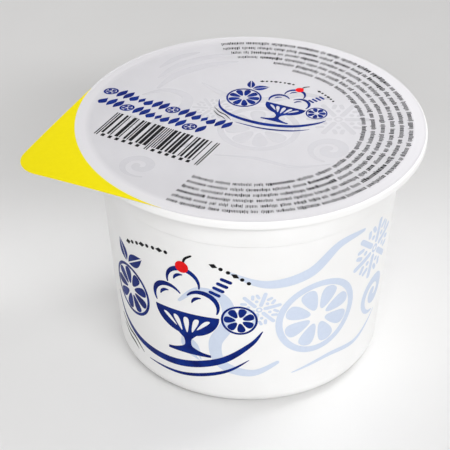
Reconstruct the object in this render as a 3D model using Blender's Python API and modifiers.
"""Sorbet cup: a shut 125 ml portion cup of white plastic, sealed with a flat membrane lid.

The cup and what it holds are one closed solid, because nothing shows of the inside. The
lid is a thin sheet whose pull tab stands out past the rim.
The origin is the centre of the flat base, +Z is up and the pull tab points along -X.
"""

import math

import bpy

MM = 0.001

# Overall sizes
TOTAL_HEIGHT = 54.0 * MM
CLEARANCE = 0.3 * MM

# Lid: a disc whose edge runs out along two tangents to a rounded, right-angled tab
LID_RADIUS = 37.2 * MM
LID_THICKNESS = 0.3 * MM
TAB_TIP_RADIUS = 6.0 * MM
TAB_HALF_ANGLE = math.radians(45)

# Rim: a flat web that carries the seal, with a short skirt turned down at its edge
RIM_RADIUS = 37.5 * MM
RIM_EDGE_ROUND = 0.4 * MM
WEB_THICKNESS = 0.9 * MM
SKIRT_THICKNESS = 1.0 * MM
SKIRT_DROP = 0.6 * MM
SKIRT_ROUND = 0.2 * MM

# Wall: a straight taper under a collar that stands proud of it
WALL_FOOT_RADIUS = 28.1 * MM
WALL_TAPER = math.radians(4.95)
COLLAR_PROUD = 0.35 * MM
COLLAR_ROUND = 0.3 * MM
COLLAR_FOOT_DEPTH = 10.1 * MM
COLLAR_FILLET = 0.8 * MM
HEEL_ROUND = 3.6 * MM

# Fineness: steps in the cup's full turn and in each arc, and what the turn's ends merge within
TURN_STEPS = 120
RIM_EDGE_STEPS = 4
SKIRT_STEPS = 2
COLLAR_FILLET_STEPS = 4
COLLAR_ROUND_STEPS = 3
HEEL_STEPS = 7
LID_DISC_STEPS = 96
TAB_TIP_STEPS = 16
MERGE_DISTANCE = 0.01 * MM

# Linear colour and roughness
WHITE_PLASTIC = (0.87, 0.87, 0.86, 1.0)
PLASTIC_ROUGHNESS = 0.4
SILVER_FILM = (0.72, 0.72, 0.75, 1.0)
FILM_ROUGHNESS = 0.35


def clear_scene():
    for thing in list(bpy.data.objects):
        bpy.data.objects.remove(thing, do_unlink=True)


def new_collection(name):
    collection = bpy.data.collections.new(name)
    bpy.context.scene.collection.children.link(collection)
    return collection


def plain_material(name, colour, roughness):
    material = bpy.data.materials.new(name)
    material.use_nodes = True
    shader = material.node_tree.nodes["Principled BSDF"]
    shader.inputs["Base Color"].default_value = colour
    shader.inputs["Roughness"].default_value = roughness
    return material


def arc(centre_x, centre_y, radius, start, end, steps):
    """Points along an arc, with both its ends. Angles are in radians."""
    angles = (start + (end - start) * i / steps for i in range(steps + 1))
    return [(centre_x + radius * math.cos(a), centre_y + radius * math.sin(a)) for a in angles]


def wall_radius(height):
    """Outer radius of the tapered wall at a height above the base."""
    return WALL_FOOT_RADIUS + height * math.tan(WALL_TAPER)


def rim_profile(top):
    """(radius, height) points over the rim's edge, round the skirt and in under the web."""
    quarter = math.pi / 2
    under_web = top - WEB_THICKNESS
    skirt_inner = RIM_RADIUS - SKIRT_THICKNESS
    edge_x, edge_y = RIM_RADIUS - RIM_EDGE_ROUND, top - RIM_EDGE_ROUND
    round_y = under_web - SKIRT_DROP + SKIRT_ROUND
    points = arc(edge_x, edge_y, RIM_EDGE_ROUND, quarter, 0, RIM_EDGE_STEPS)
    points += arc(RIM_RADIUS - SKIRT_ROUND, round_y, SKIRT_ROUND, 0, -quarter, SKIRT_STEPS)
    points += arc(skirt_inner + SKIRT_ROUND, round_y, SKIRT_ROUND, -quarter, -math.pi, SKIRT_STEPS)
    points.append((skirt_inner, under_web))
    return points


def collar_profile(under_web):
    """(radius, height) points down the collar, from its fillet to the wall below it."""
    quarter = math.pi / 2
    foot = TOTAL_HEIGHT - COLLAR_FOOT_DEPTH
    fillet_x = wall_radius(under_web) + COLLAR_PROUD + COLLAR_FILLET
    fillet_y = under_web - COLLAR_FILLET
    round_x = wall_radius(foot) + COLLAR_PROUD - COLLAR_ROUND
    round_y = foot + COLLAR_ROUND
    points = arc(fillet_x, fillet_y, COLLAR_FILLET, quarter, math.pi + WALL_TAPER, COLLAR_FILLET_STEPS)
    points += arc(round_x, round_y, COLLAR_ROUND, -WALL_TAPER, -quarter, COLLAR_ROUND_STEPS)
    points.append((wall_radius(foot), foot))
    return points


def heel_profile():
    """(radius, height) points round the heel, tangent to the wall and to the flat base."""
    centre_x = wall_radius(HEEL_ROUND) - HEEL_ROUND / math.cos(WALL_TAPER)
    return arc(centre_x, HEEL_ROUND, HEEL_ROUND, -WALL_TAPER, -math.pi / 2, HEEL_STEPS)


def turned(name, profile, collection, material):
    """A solid of revolution about Z, from (radius, height) points that run down its outside."""
    mesh = bpy.data.meshes.new(name)
    edges = [(i, i + 1) for i in range(len(profile) - 1)]
    mesh.from_pydata([(radius, 0.0, height) for radius, height in profile], edges, [])
    solid = bpy.data.objects.new(name, mesh)
    collection.objects.link(solid)
    mesh.materials.append(material)
    screw = solid.modifiers.new("turn", "SCREW")
    screw.steps = TURN_STEPS
    screw.render_steps = TURN_STEPS
    screw.use_merge_vertices = True
    screw.merge_threshold = MERGE_DISTANCE
    screw.use_smooth_shade = True
    return solid


def make_cup(collection):
    top = TOTAL_HEIGHT - LID_THICKNESS - CLEARANCE
    profile = [(0.0, top)]
    profile += rim_profile(top)
    profile += collar_profile(top - WEB_THICKNESS)
    profile += heel_profile()
    profile.append((0.0, 0.0))
    material = plain_material("cup_plastic", WHITE_PLASTIC, PLASTIC_ROUGHNESS)
    return turned("cup", profile, collection, material)


def lid_outline():
    """The disc's arc and the tab tip's arc, which the two tangents join."""
    tip_reach = (LID_RADIUS - TAB_TIP_RADIUS) / math.sin(TAB_HALF_ANGLE)
    tangent = math.pi / 2 - TAB_HALF_ANGLE
    disc = arc(0.0, 0.0, LID_RADIUS, math.pi + tangent, 3 * math.pi - tangent, LID_DISC_STEPS)
    tip = arc(-tip_reach, 0.0, TAB_TIP_RADIUS, math.pi - tangent, math.pi + tangent, TAB_TIP_STEPS)
    return disc + tip


def make_lid(collection):
    curve = bpy.data.curves.new("lid", "CURVE")
    curve.dimensions = "2D"
    curve.fill_mode = "BOTH"
    curve.extrude = LID_THICKNESS / 2
    outline = lid_outline()
    spline = curve.splines.new("POLY")
    spline.points.add(len(outline) - 1)
    for point, (x, y) in zip(spline.points, outline):
        point.co = (x, y, 0.0, 1.0)
    spline.use_cyclic_u = True
    curve.materials.append(plain_material("lid_film", SILVER_FILM, FILM_ROUGHNESS))
    lid = bpy.data.objects.new("lid", curve)
    lid.location.z = TOTAL_HEIGHT - LID_THICKNESS / 2
    collection.objects.link(lid)
    return lid


def main():
    clear_scene()
    collection = new_collection("sorbet_cup")
    make_cup(collection)
    make_lid(collection)


main()
